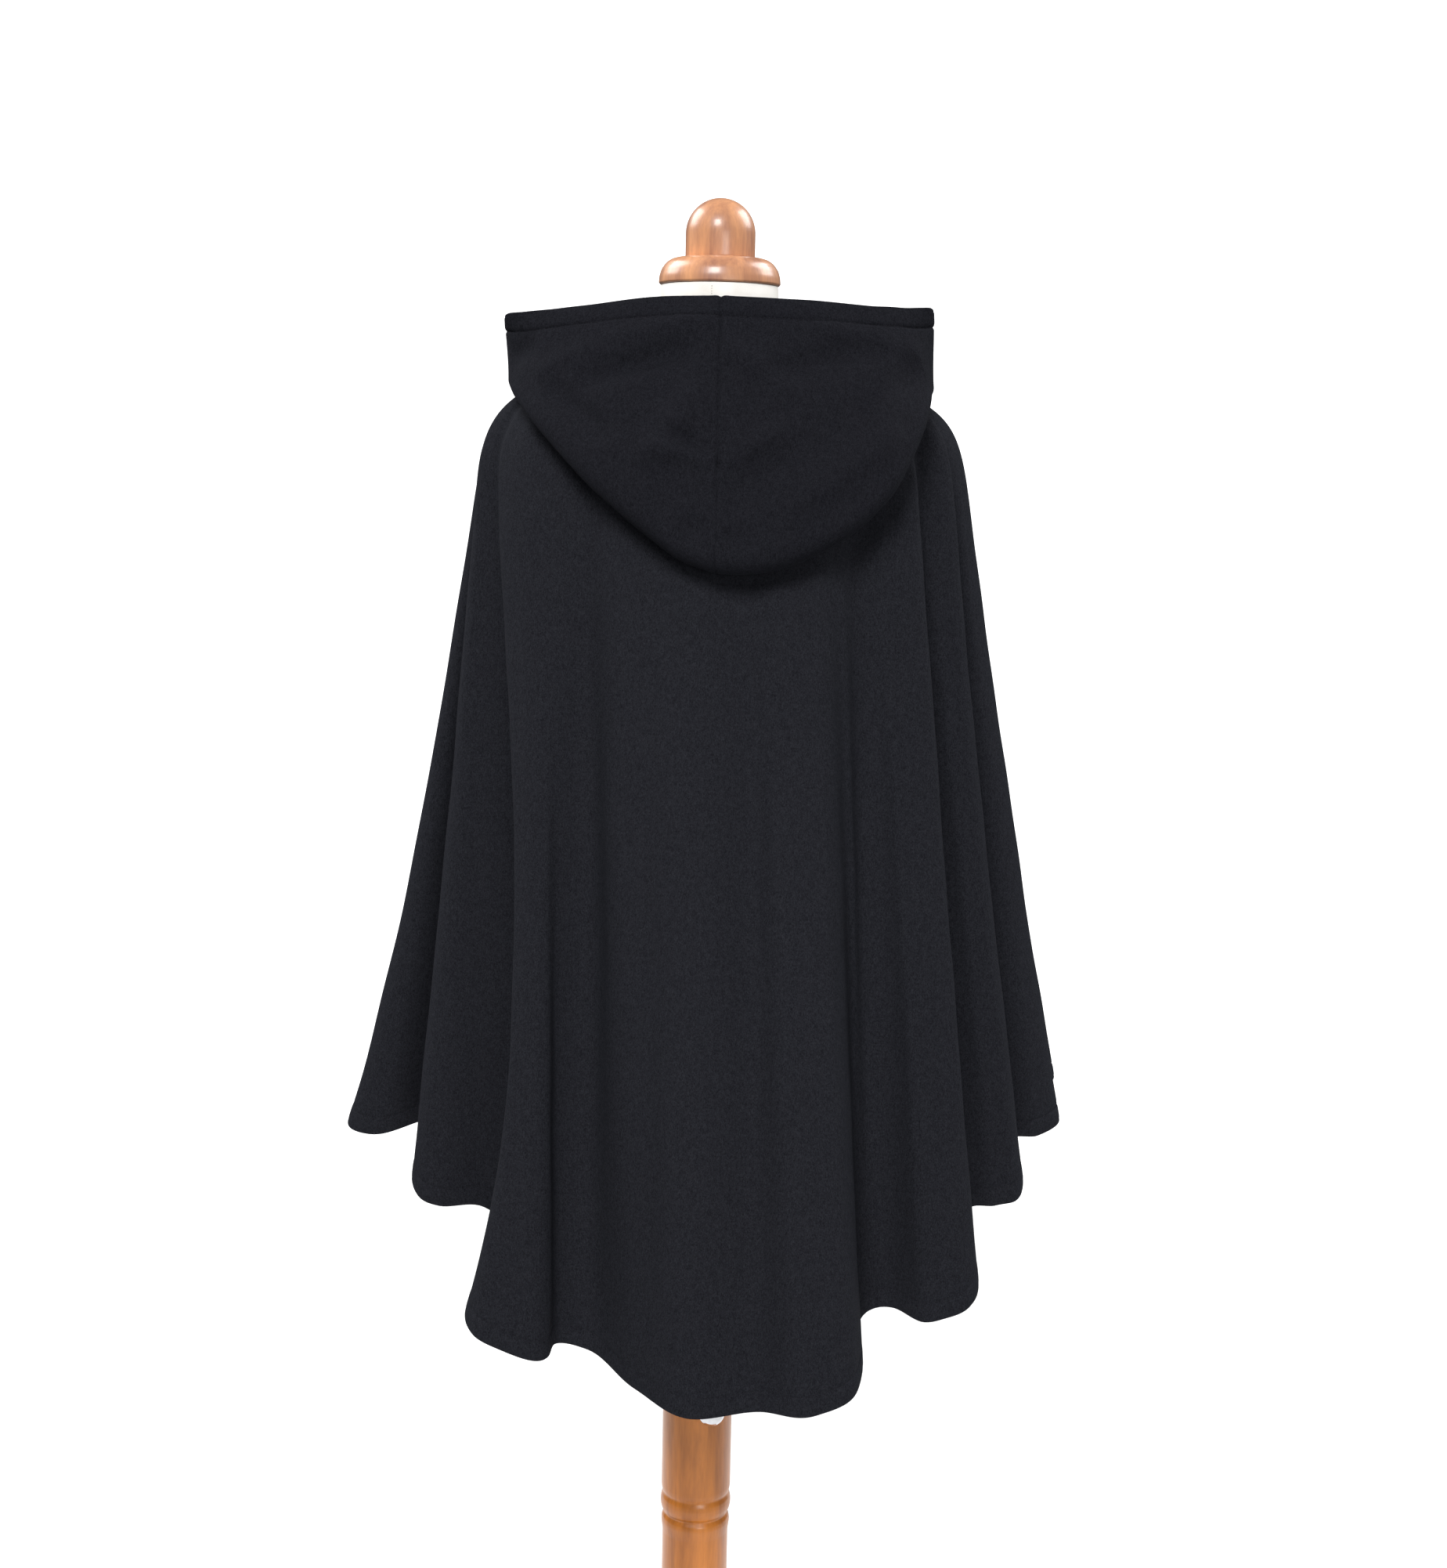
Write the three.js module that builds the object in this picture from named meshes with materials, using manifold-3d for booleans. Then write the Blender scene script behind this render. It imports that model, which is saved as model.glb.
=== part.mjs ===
// Hooded wool cloak on a limbless dress form with a turned wooden stand, in millimetres.
// +X is the wearer's right, +Y the wearer's front, +Z up; the origin is on the floor under the pole.
import * as THREE from 'three';
import { mergeVertices } from 'three/addons/utils/BufferGeometryUtils.js';
import Module from 'manifold-3d';

const wasm = await Module();
wasm.setup();

const CLOTH = 2.5; // thickness of the felted wool
const SEAM = 0.3; // air between neighbouring pieces
const RAD = Math.PI / 180;

// Neckline and the ring below the shoulders from which the cloak hangs free.
const NECK_X = 62;
const NECK_Y = 60;
const NECK_BACK_Z = 1431;
const NECK_FRONT_Z = 1397;
const RING_X = 206;
const RING_BACK = 118;
const RING_FRONT = 130;
const RING_Z = 1306;

// Height of the hem at centre back, at the sides and at centre front.
const HEM_BACK_Z = 520;
const HEM_SIDE_Z = 680;
const HEM_FRONT_Z = 752;
const BELL = 0.12; // share of the flare that comes late, so the skirt bells out

// The folds, from the left front edge round the back to the right front edge.
// ring: degrees round the shoulders from centre back; hemX, hemY: place of the hem;
// lift: how far the fold stands off the shoulders; bowX, bowY: sideways bow half way down;
// over: how far the piece lies out over another one.
const FOLD_COLUMNS = ['ring', 'hemX', 'hemY', 'lift', 'bowX', 'bowY', 'over'];
const FOLDS = {
  leftEdge: [-193, 30, 230, 0, 0, 0, 0],
  frontLeftFlat: [-182, 0, 233, 0, 0, 0, 0],
  frontLeftSlope: [-172, -30, 238, 0, 0, 0, 0],
  frontLeftCrest: [-165, -58, 252, 4, 0, 0, 0],
  frontLeftValley: [-158, -84, 228, 1, 0, 0, 0],
  breastLeftSlope: [-148, -132, 226, 3, 0, 0, 0],
  breastLeftCrest: [-139, -176, 242, 8, 0, 0, 0],
  breastLeftValley: [-131, -190, 194, 2, 0, 0, 0],
  armLeftSlope: [-124, -226, 174, 4, 0, 0, 0],
  armLeftCrest: [-116, -268, 180, 9, 0, 0, 0],
  armLeftValley: [-109, -268, 120, 3, 0, 0, 0],
  sideLeftFront: [-104, -318, 98, 9, 0, 0, 0],
  sideLeftCrest: [-100, -346, 42, 18, 7, 0, 0],
  sideLeftTip: [-97, -343, 10, 18, 7, 0, 0],
  sideLeftFlat: [-94, -312, 0, 11, 0, 0, 0],
  sideLeftValley: [-91, -266, 26, 2, 0, 0, 0],
  backLeftEdge: [-87, -275, -48, 13, 0, 0, 0],
  backLeftCorner: [-85, -267, -65, 13, 0, 0, 0],
  backLeftCrest: [-82, -246, -72, 12, 0, 0, 0],
  backLeftFlat: [-78, -206, -64, 6, 4, 0, 0],
  bladeLeftValley: [-74, -172, -84, 0, 12, 0, 0],
  bladeLeftEdge: [-67, -208, -172, 6, 33, 0, 0],
  bladeLeftCorner: [-62, -199, -203, 7, 22, 0, 0],
  bladeLeftCrest: [-57, -172, -213, 8, 12, 0, 0],
  bladeLeftSide: [-46, -131, -203, 4, 0, 0, 0],
  centreLeftValley: [-42, -126, -181, 2, 0, 0, 0],
  centreLeftFlat: [-37, -100, -174, 2, 0, 0, 0],
  centreLeftSlope: [-25, -56, -217, 3, 0, 0, 0],
  centreCrest: [-9, -8, -264, 4, 0, 0, 0],
  centreDip: [7, 54, -256, 3, 0, 0, 0],
  centreRightCrest: [18, 104, -275, 4, 0, 0, 0],
  centreRightCorner: [23, 135, -258, 4, 0, 0, 0],
  centreRightEdge: [27, 145, -222, 4, 0, 0, 0],
  bladeRightValley: [33, 145, -156, 1, 0, 0, 0],
  bladeRightFlat: [40, 176, -150, 2, 0, 0, 0],
  bladeRightStep: [44, 200, -176, 5, 0, 0, 0],
  bladeRightCrest: [48, 222, -179, 7, 0, 0, 0],
  bladeRightCorner: [53, 244, -171, 9, 0, 0, 0],
  bladeRightEdge: [57, 253, -148, 10, 0, 0, 0],
  backRightValley: [62, 248, -72, 1, 0, 0, 0],
  backRightFlat: [68, 278, -64, 6, 0, 0, 0],
  backRightCorner: [72, 298, -60, 13, 0, 0, 0],
  backRightEdge: [76, 306, -40, 17, 0, 0, 0],
  sideRightValley: [82, 300, 14, 11, 0, 0, 0],
  sideRightFlat: [88, 328, 22, 20, 3, 0, 0],
  sideRightEdge: [94, 353, 54, 29, 1, 0, 0],
  armRightValley: [100, 338, 100, 20, 4, 0, 0],
  armRightCrest: [106, 360, 150, 22, 6, 0, 0],
  armRightSide: [113, 298, 166, 8, 4, 0, 0],
  breastRightCrest: [121, 262, 224, 9, 0, 0, 0],
  breastRightValley: [130, 210, 198, 2, 0, 0, 0],
  frontRightCrest: [140, 164, 246, 7, 0, 0, 0],
  frontRightValley: [150, 116, 228, 1, 0, 0, 0],
  frontRightSlope: [160, 62, 252, 1, 0, 0, 2.8],
  frontRightFlat: [170, 20, 254, 0, 0, 0, 5],
  rightEdge: [192, -26, 252, 0, 0, 0, 5.4],
};

// How far along each line the cloth is divided: 0 at the neck, 1 at the shoulder ring, 2 at the hem.
const DOWN = [0, 0.2, 0.4, 0.58, 0.72, 0.86, 1, 1.11, 1.25, 1.4, 1.55, 1.7, 1.84, 1.94, 2];

// The hood, from the centre seam forward to the front end of its neck seam, one table a side.
// neck: degrees round the neck from centre back; down: where its under layer turns, as in DOWN
// as far as the ring and then one more for each COVER_FALL below it; roll: radius of that turn;
// rimX, rimY, rimZ: place of the face opening's edge.
const HOOD_COLUMNS = ['neck', 'down', 'roll', 'rimX', 'rimY', 'rimZ'];
const HOOD_LEFT = [
  [0, 1.272, 19, 2, -100, 1472],
  [-7, 1.222, 19, -18, -99, 1471.5],
  [-14, 1.126, 19, -38, -98, 1471],
  [-21, 1.031, 18.5, -57, -96, 1470],
  [-28, 0.924, 18, -76, -93, 1468],
  [-35, 0.812, 17, -94, -89, 1465.5],
  [-42, 0.712, 16, -112, -85, 1463],
  [-49, 0.628, 15, -130, -80, 1461],
  [-56, 0.556, 14, -146, -75, 1459],
  [-63, 0.498, 13, -161, -70, 1457.5],
  [-70, 0.45, 12, -174, -65, 1456],
  [-82, 0.405, 10, -189, -56, 1454],
  [-96, 0.37, 9, -184, -34, 1450],
  [-112, 0.33, 8, -160, -8, 1441],
  [-128, 0.28, 7, -128, 18, 1431],
  [-144, 0.21, 6.5, -92, 40, 1421],
  [-158, 0.14, 6, -52, 58, 1412],
  [-166, 0.08, 5.5, -28, 66, 1406],
];
const HOOD_RIGHT = [
  [0, 1.272, 19, 2, -100, 1472],
  [7, 1.275, 19, 22, -99, 1471.5],
  [14, 1.252, 19, 42, -98, 1471],
  [21, 1.202, 18.5, 62, -96, 1470.5],
  [28, 1.138, 18, 82, -93, 1470],
  [35, 1.056, 17.5, 101, -89, 1469],
  [42, 0.944, 17, 118, -84, 1468],
  [49, 0.79, 15.5, 135, -80, 1467],
  [56, 0.652, 14.5, 151, -75, 1467],
  [63, 0.538, 13.5, 166, -69, 1466.5],
  [70, 0.464, 12, 178, -64, 1467],
  [82, 0.412, 10, 190, -55, 1466.5],
  [96, 0.37, 9, 185, -34, 1459],
  [112, 0.355, 8, 162, -8, 1448],
  [128, 0.3, 7, 130, 18, 1436],
  [144, 0.23, 6.5, 93, 40, 1425],
  [158, 0.15, 6, 53, 58, 1415],
  [166, 0.08, 5.5, 28, 66, 1409],
];
const HOOD_SEAM_X = 2;
const HOOD_REST = 1.6; // clearance of the hood's under layer from the cover it lies on
const COVER_LIFT_BACK = 5;
const COVER_LIFT_LEFT = 14;
const COVER_LIFT_RIGHT = 22;
const COVER_FALL = 200; // millimetres below the ring for each step of down
const COVER_LEAN = 0.15; // outward step of the cover for each millimetre below the ring
const UNDER_ROWS = 7;

// The dress form below the shoulder ring: height, half width, depth to the back and to the front.
const FORM_LOWER = [
  { z: 1270, halfWidth: 178, back: 113, front: 127 },
  { z: 1225, halfWidth: 167, back: 108, front: 126 },
  { z: 1170, halfWidth: 157, back: 101, front: 116 },
  { z: 1100, halfWidth: 140, back: 93, front: 100 },
  { z: 1030, halfWidth: 126, back: 90, front: 92 },
  { z: 960, halfWidth: 143, back: 100, front: 98 },
  { z: 890, halfWidth: 168, back: 113, front: 107 },
  { z: 820, halfWidth: 179, back: 118, front: 111 },
  { z: 770, halfWidth: 178, back: 115, front: 110 },
  { z: 752, halfWidth: 172, back: 109, front: 104 },
];
const FORM_BOTTOM_Z = 750;
const FORM_NECK = [
  { z: 1441, radius: 57.5 },
  { z: 1462, radius: 54.6 },
  { z: 1487.5, radius: 53.6 },
];
const FORM_SIDES = 40;

// Wooden cap and dome of the neck, seen as one turned piece each.
const CAP_PROFILE = [[0, 1487.8], [54, 1487.8], [55.4, 1489.2], [55, 1495], [53, 1501.5],
  [49, 1507], [44, 1510.4], [38, 1511.9], [0, 1511.9]];
const DOME_RADIUS = 31.6;
const DOME_BOTTOM_Z = 1512.2;
const DOME_TOP_Z = 1565;

// Mast tube, wooden column, clamp knob and round base.
const MAST_RADIUS = 12.5;
const MAST_WALL = 1.6;
const MAST_BOTTOM_Z = 300;
const MAST_TOP_Z = 800;
const BORE_RADIUS = MAST_RADIUS + SEAM;
const BORE_BOTTOM_Z = 200;
const BASE_RADIUS = 190;
const BASE_HEIGHT = 28;
const COLUMN_PROFILE = [[0, BASE_HEIGHT + SEAM], [45, BASE_HEIGHT + SEAM], [45.6, 32], [43, 38],
  [37.5, 44], [34, 52], [32.4, 62], [32.4, 279], [33.2, 285], [33.8, 290], [33.1, 294.5], [31.2, 298],
  [31.3, 299.4], [33.2, 302], [34.4, 306.5], [34.7, 311], [34.1, 315.5], [32.7, 319.2], [32.6, 320.6],
  [33.5, 323], [34, 327], [34, 473], [33, 476.6], [30, 478], [BORE_RADIUS, 478],
  [BORE_RADIUS, BORE_BOTTOM_Z], [0, BORE_BOTTOM_Z]];
const BASE_PROFILE = [[0, 0], [186, 0], [189, 2.5], [BASE_RADIUS, 8], [188, 15], [181, 21],
  [168, 25.5], [150, BASE_HEIGHT], [0, BASE_HEIGHT]];
const KNOB_Z = 425;
const KNOB_TURN = 15; // degrees from straight back towards the wearer's right
const KNOB_SHAFT = 4;
const KNOB_PROFILE = [[0, MAST_RADIUS + SEAM], [KNOB_SHAFT, MAST_RADIUS + SEAM], [KNOB_SHAFT, 34.5],
  [8, 34.5], [8, 37.5], [5.5, 39], [5.5, 45], [10.5, 46], [12.6, 48], [13, 51], [13, 55.5],
  [12.2, 58.2], [9.5, 60], [4, 60.8], [0, 61]];
const BUTTON_RADIUS = 11;
const BUTTON_PROFILE = [[0, 0], [9.6, 0], [BUTTON_RADIUS, 0.9], [BUTTON_RADIUS, 2.4], [10.1, 3.2],
  [8.6, 3.1], [7.4, 2.3], [0, 2.1]];

// Value between a and b.
function mix(a, b, t) {
  return a + (b - a) * t;
}

// Smooth curve through the table's rows at the given places; returns the columns at place u.
function curveAt(places, rows, u) {
  const last = places.length - 1;
  let i = 0;
  while (i < last - 1 && u > places[i + 1]) {
    i += 1;
  }
  const gap = places[i + 1] - places[i];
  const t = (u - places[i]) / gap;
  const slope = (k, c) => {
    const rise = (j) => (rows[j + 1][c] - rows[j][c]) / (places[j + 1] - places[j]);
    if (k === 0) {
      return rise(0);
    }
    if (k === last) {
      return rise(last - 1);
    }
    const before = places[k] - places[k - 1];
    const after = places[k + 1] - places[k];
    return (rise(k - 1) * after + rise(k) * before) / (before + after);
  };
  return rows[i].map((value, c) => (2 * t ** 3 - 3 * t ** 2 + 1) * value
    + (t ** 3 - 2 * t ** 2 + t) * gap * slope(i, c)
    + (3 * t ** 2 - 2 * t ** 3) * rows[i + 1][c]
    + (t ** 3 - t ** 2) * gap * slope(i + 1, c));
}

// Row of a table as an object with the columns' names.
function named(columns, row) {
  return Object.fromEntries(columns.map((name, c) => [name, row[c]]));
}

// Height of the hem below the plan position x, y.
function hemZ(x, y) {
  const c = -y / Math.hypot(x, y);
  return c > 0 ? mix(HEM_BACK_Z, HEM_SIDE_Z, 1 - c) : mix(HEM_SIDE_Z, HEM_FRONT_Z, -c);
}

// Point of the neckline and its height at an angle from centre back.
function neckPoint(angle) {
  const c = Math.cos(angle * RAD);
  const z = mix(NECK_FRONT_Z, NECK_BACK_Z, (1 + c) / 2) + 6 * (1 - c * c);
  return new THREE.Vector3(NECK_X * Math.sin(angle * RAD), -NECK_Y * c, z);
}

// Point of the shoulder ring at an angle, pushed out by lift.
function ringPoint(angle, lift) {
  const s = Math.sin(angle * RAD);
  const c = Math.cos(angle * RAD);
  const deep = c > 0 ? RING_BACK : RING_FRONT;
  const out = new THREE.Vector3(s / RING_X, -c / deep, 0).normalize();
  return new THREE.Vector3(RING_X * s, -deep * c, RING_Z).addScaledVector(out, lift);
}

// Point t of the rounded line from the neck over the shoulder to the ring; lean is the outward
// step of the hanging cloth for each millimetre of fall, the direction in which the line ends.
function yokePoint(angle, ring, lean, t) {
  const side = Math.sin(angle * RAD) ** 2;
  const neck = neckPoint(angle);
  const first = neck.clone().lerp(ring, mix(0.5, 0.88, side)).setZ(neck.z - mix(38, 20, side));
  const rise = mix(52, 64, side);
  const second = ring.clone().addScaledVector(lean, -rise).setZ(ring.z + rise);
  return new THREE.CubicBezierCurve3(neck, first, second, ring).getPoint(t);
}

// Point of the cloak's outer face on one fold line; down is 0 at the neck, 1 at the shoulder
// ring and 2 at the hem. Below the ring the line runs almost straight and bells out a little.
function cloakPoint(fold, down) {
  const ring = ringPoint(fold.ring, fold.lift);
  const hem = new THREE.Vector3(fold.hemX, fold.hemY, hemZ(fold.hemX, fold.hemY));
  const fall = RING_Z - hem.z;
  const lean = new THREE.Vector3(hem.x - ring.x, hem.y - ring.y, 0).multiplyScalar((1 - BELL) / fall);
  if (down <= 1) {
    return yokePoint(fold.ring, ring, lean, down);
  }
  const t = down - 1;
  const late = t ** 1.5;
  const bow = 4 * late * (1 - late);
  const flare = mix(t, t * t, BELL);
  return new THREE.Vector3(mix(ring.x, hem.x, flare) + fold.bowX * bow,
    mix(ring.y, hem.y, flare) + fold.bowY * bow, mix(RING_Z, hem.z, t));
}

// Unit directions square to a grid of points, from the steps along its rows and columns.
function gridNormals(grid) {
  const last = grid.length - 1;
  const end = grid[0].length - 1;
  return grid.map((row, i) => row.map((point, j) => {
    const along = row[Math.min(j + 1, end)].clone().sub(row[Math.max(j - 1, 0)]);
    const across = grid[Math.min(i + 1, last)][j].clone().sub(grid[Math.max(i - 1, 0)][j]);
    return across.cross(along).normalize();
  }));
}

// Grid moved along its own normals by a distance given for each column.
function moved(grid, distance) {
  const normals = gridNormals(grid);
  return grid.map((row, i) => row.map((point, j) => point.clone()
    .addScaledVector(normals[i][j], distance(i, j))));
}

// Closed body from triangles given as rows of quads between corner points.
function bodyOf(quads) {
  const values = [];
  for (const [a, b, c, d] of quads) {
    const shortAC = a.distanceToSquared(c) <= b.distanceToSquared(d);
    const halves = shortAC ? [[a, b, c], [a, c, d]] : [[a, b, d], [b, c, d]];
    for (const half of halves) {
      const area = half[1].clone().sub(half[0]).cross(half[2].clone().sub(half[0])).length();
      if (area > 1e-7) {
        half.forEach((p) => values.push(p.x, p.y, p.z));
      }
    }
  }
  const geometry = new THREE.BufferGeometry();
  geometry.setAttribute('position', new THREE.Float32BufferAttribute(values, 3));
  return mergeVertices(geometry, 1e-4);
}

// Sheet of cloth with the given outer and inner faces, closed along its four edges.
function sheetBody(outer, inner) {
  const quads = [];
  const last = outer.length - 1;
  const end = outer[0].length - 1;
  for (let i = 0; i < last; i += 1) {
    for (let j = 0; j < end; j += 1) {
      quads.push([outer[i][j], outer[i + 1][j], outer[i + 1][j + 1], outer[i][j + 1]]);
      quads.push([inner[i][j], inner[i][j + 1], inner[i + 1][j + 1], inner[i + 1][j]]);
    }
    quads.push([outer[i][0], inner[i][0], inner[i + 1][0], outer[i + 1][0]]);
    quads.push([outer[i][end], outer[i + 1][end], inner[i + 1][end], inner[i][end]]);
  }
  for (let j = 0; j < end; j += 1) {
    quads.push([outer[0][j], outer[0][j + 1], inner[0][j + 1], inner[0][j]]);
    quads.push([outer[last][j], inner[last][j], inner[last][j + 1], outer[last][j + 1]]);
  }
  return bodyOf(quads);
}

// Closed skin over rings of points that run from the bottom up, closed by a point at each end.
function skinBody(start, rings, finish) {
  const quads = [];
  const count = rings[0].length;
  for (let j = 0; j < count; j += 1) {
    const k = (j + 1) % count;
    quads.push([start, rings[0][k], rings[0][j], start]);
    for (let i = 0; i < rings.length - 1; i += 1) {
      quads.push([rings[i][j], rings[i][k], rings[i + 1][k], rings[i + 1][j]]);
    }
    quads.push([finish, rings.at(-1)[j], rings.at(-1)[k], finish]);
  }
  return bodyOf(quads);
}

// Body turned about Z from a profile of radius and height that runs from the bottom up.
function turned(profile, sides) {
  const points = profile.map(([radius, height]) => new THREE.Vector2(radius, height));
  const geometry = new THREE.LatheGeometry(points, sides);
  geometry.rotateX(Math.PI / 2);
  return clean(geometry);
}

// The same geometry with shared corners and no spare attributes.
function clean(geometry) {
  geometry.deleteAttribute('normal');
  geometry.deleteAttribute('uv');
  return mergeVertices(geometry, 1e-4);
}

// Geometry as a solid for cutting, and back.
function solidOf(geometry) {
  return new wasm.Manifold(new wasm.Mesh({
    numProp: 3,
    vertProperties: new Float32Array(geometry.attributes.position.array),
    triVerts: new Uint32Array(geometry.index.array),
  }));
}
function geometryOf(solid) {
  const mesh = solid.getMesh();
  const geometry = new THREE.BufferGeometry();
  geometry.setAttribute('position', new THREE.BufferAttribute(new Float32Array(mesh.vertProperties), 3));
  geometry.setIndex(new THREE.BufferAttribute(new Uint32Array(mesh.triVerts), 1));
  return geometry;
}

const WOOL = { color: 0x23242a, roughness: 0.95, metalness: 0 };
const WOOD = { color: 0x8a4f2a, roughness: 0.32, metalness: 0 };
const JERSEY = { color: 0xe6ded0, roughness: 0.9, metalness: 0 };
const STEEL = { color: 0xb8babd, roughness: 0.3, metalness: 1 };
const CHROME = { color: 0xdfe1e4, roughness: 0.12, metalness: 1 };
const HORN = { color: 0x1b1a1c, roughness: 0.45, metalness: 0 };

const cloak = new THREE.Group();
cloak.name = 'wool_cloak_on_dress_form';

// Adds one named piece to the group.
function add(name, geometry, look) {
  const mesh = new THREE.Mesh(geometry, new THREE.MeshStandardMaterial(look));
  mesh.name = name;
  mesh.geometry.computeVertexNormals();
  cloak.add(mesh);
}

// Stations round the cloak: two or three to each fold, as the fold is narrow or wide at the hem.
const foldNames = Object.keys(FOLDS);
const foldRows = Object.values(FOLDS);
const foldPlaces = [0];
for (let i = 1; i < foldRows.length; i += 1) {
  const width = Math.hypot(foldRows[i][1] - foldRows[i - 1][1], foldRows[i][2] - foldRows[i - 1][2]);
  foldPlaces.push(foldPlaces[i - 1] + Math.sqrt(width));
}
const stations = [];
const stationOf = {};
for (let i = 0; i < foldRows.length; i += 1) {
  stationOf[foldNames[i]] = stations.length;
  const steps = i === foldRows.length - 1 ? 1 : foldPlaces[i + 1] - foldPlaces[i] > 6.2 ? 3 : 2;
  for (let k = 0; k < steps; k += 1) {
    const place = k === 0 ? foldPlaces[i] : mix(foldPlaces[i], foldPlaces[i + 1], k / steps);
    stations.push(named(FOLD_COLUMNS, curveAt(foldPlaces, foldRows, place)));
  }
}

// Fold line at an angle round the shoulders, for what lies on the cloak.
function foldAt(angle) {
  const next = stations.findIndex((station) => station.ring >= angle);
  const a = stations[next - 1];
  const b = stations[next];
  const t = (angle - a.ring) / (b.ring - a.ring);
  return Object.fromEntries(FOLD_COLUMNS.map((name) => [name, mix(a[name], b[name], t)]));
}

// Outer and inner face of the whole cloak, before it is parted into its panels.
const cloakLines = DOWN.map((down) => stations.map((station) => cloakPoint(station, down)));
const cloakOuter = moved(cloakLines, (i, j) => stations[j].over);
const cloakInner = moved(cloakOuter, () => -CLOTH);

// One panel of the cloak between two fold lines, drawn in by half a seam gap at a sewn side.
function panel(name, from, to, sewnFrom, sewnTo) {
  const a = stationOf[from];
  const b = stationOf[to];
  const cut = (grid) => grid.map((row) => {
    const part = row.slice(a, b + 1).map((point) => point.clone());
    const end = part.length - 1;
    if (sewnFrom) {
      part[0].add(part[1].clone().sub(part[0]).setLength(SEAM / 2));
    }
    if (sewnTo) {
      part[end].add(part[end - 1].clone().sub(part[end]).setLength(SEAM / 2));
    }
    return part;
  });
  add(name, sheetBody(cut(cloakOuter), cut(cloakInner)), WOOL);
}
panel('cloak_front_left', 'leftEdge', 'armLeftValley', false, true);
panel('cloak_back', 'armLeftValley', 'armRightValley', true, true);
panel('cloak_front_right', 'armRightValley', 'rightEdge', true, false);

// Point of the smooth surface on which the hood lies, just clear of the folds below it.
function coverPoint(angle, down) {
  const side = Math.sin(angle * RAD) ** 2;
  const lift = angle < 0 ? COVER_LIFT_LEFT : COVER_LIFT_RIGHT;
  const ring = ringPoint(angle, mix(COVER_LIFT_BACK, lift, side));
  const lean = ring.clone().setZ(0).normalize().multiplyScalar(COVER_LEAN);
  if (down <= 1) {
    return yokePoint(angle, ring, lean, down);
  }
  const fall = (down - 1) * COVER_FALL;
  return ring.clone().addScaledVector(lean, fall).setZ(RING_Z - fall);
}

// Direction along the cover away from the neck, and square out of it.
function coverWays(angle, down) {
  const along = coverPoint(angle, down + 0.01).sub(coverPoint(angle, down - 0.01)).normalize();
  const aside = coverPoint(angle + 1, down).sub(coverPoint(angle - 1, down));
  return { along, out: along.clone().cross(aside).normalize() };
}

// Half of the hood: an under layer resting on the cloak, a round turn, and the outer layer that
// rises to the edge of the face opening. The two halves meet along the centre seam.
function hoodHalf(name, table, sign) {
  const lines = [];
  for (const row of table) {
    const line = named(HOOD_COLUMNS, row);
    const over = foldAt(line.neck).over;
    const points = [];
    for (let k = 0; k <= UNDER_ROWS; k += 1) {
      const down = line.down * k / UNDER_ROWS;
      const rest = over + Math.min(SEAM + k, HOOD_REST);
      points.push(coverPoint(line.neck, down).addScaledVector(coverWays(line.neck, down).out, rest));
    }
    const turnStart = points.at(-1);
    const { along: tangent, out } = coverWays(line.neck, line.down);
    const centre = turnStart.clone().addScaledVector(out, line.roll);
    const rim = new THREE.Vector3(line.rimX, line.rimY, line.rimZ);
    const toRim = rim.clone().sub(centre);
    const bearing = Math.atan2(toRim.dot(out), toRim.dot(tangent)) / RAD;
    const lastTurn = Math.min(bearing < 0 ? 180 : bearing + 12, 180);
    for (const share of [0.2, 0.4, 0.6, 0.8, 1]) {
      const turn = share * lastTurn * RAD;
      points.push(centre.clone().addScaledVector(out, -line.roll * Math.cos(turn))
        .addScaledVector(tangent, line.roll * Math.sin(turn)));
    }
    const foot = points.at(-1);
    const heading = out.clone().multiplyScalar(Math.sin(lastTurn * RAD))
      .addScaledVector(tangent, Math.cos(lastTurn * RAD));
    const reach = foot.distanceTo(rim);
    const second = foot.clone().addScaledVector(heading, 0.3 * reach);
    const third = rim.clone().lerp(foot, 0.35).addScaledVector(out, 0.05 * reach);
    const rise = new THREE.CubicBezierCurve3(foot, second, third, rim);
    for (const t of [0.16, 0.33, 0.5, 0.67, 0.84, 1]) {
      points.push(rise.getPoint(t));
    }
    lines.push(points);
  }
  let outer = lines[0].map((point, i) => lines.map((line) => line[i]));
  if (sign < 0) {
    outer = outer.map((row) => [...row].reverse());
  }
  let inner = moved(outer, () => CLOTH);
  const seam = sign < 0 ? lines.length - 1 : 0;
  for (const grid of [outer, inner]) {
    for (const row of grid) {
      row[seam].x = HOOD_SEAM_X + sign * SEAM / 2;
    }
  }
  add(name, sheetBody(inner, outer), WOOL);
}
hoodHalf('hood_left', HOOD_LEFT, -1);
hoodHalf('hood_right', HOOD_RIGHT, 1);

// Button on the overlap, flat on the cloth at centre front.
const buttonFold = foldAt(180);
const buttonSpot = cloakPoint(buttonFold, 0.34);
const buttonUp = buttonSpot.clone().sub(cloakPoint(buttonFold, 0.36));
const buttonOut = new THREE.Vector3(1, 0, 0).cross(buttonUp).normalize();
if (buttonOut.y < 0) {
  buttonOut.negate();
}
const button = turned(BUTTON_PROFILE, 20);
button.applyQuaternion(new THREE.Quaternion().setFromUnitVectors(new THREE.Vector3(0, 0, 1), buttonOut));
button.translate(...buttonSpot.addScaledVector(buttonOut, buttonFold.over + SEAM).toArray());
add('neck_button', button, HORN);

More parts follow.
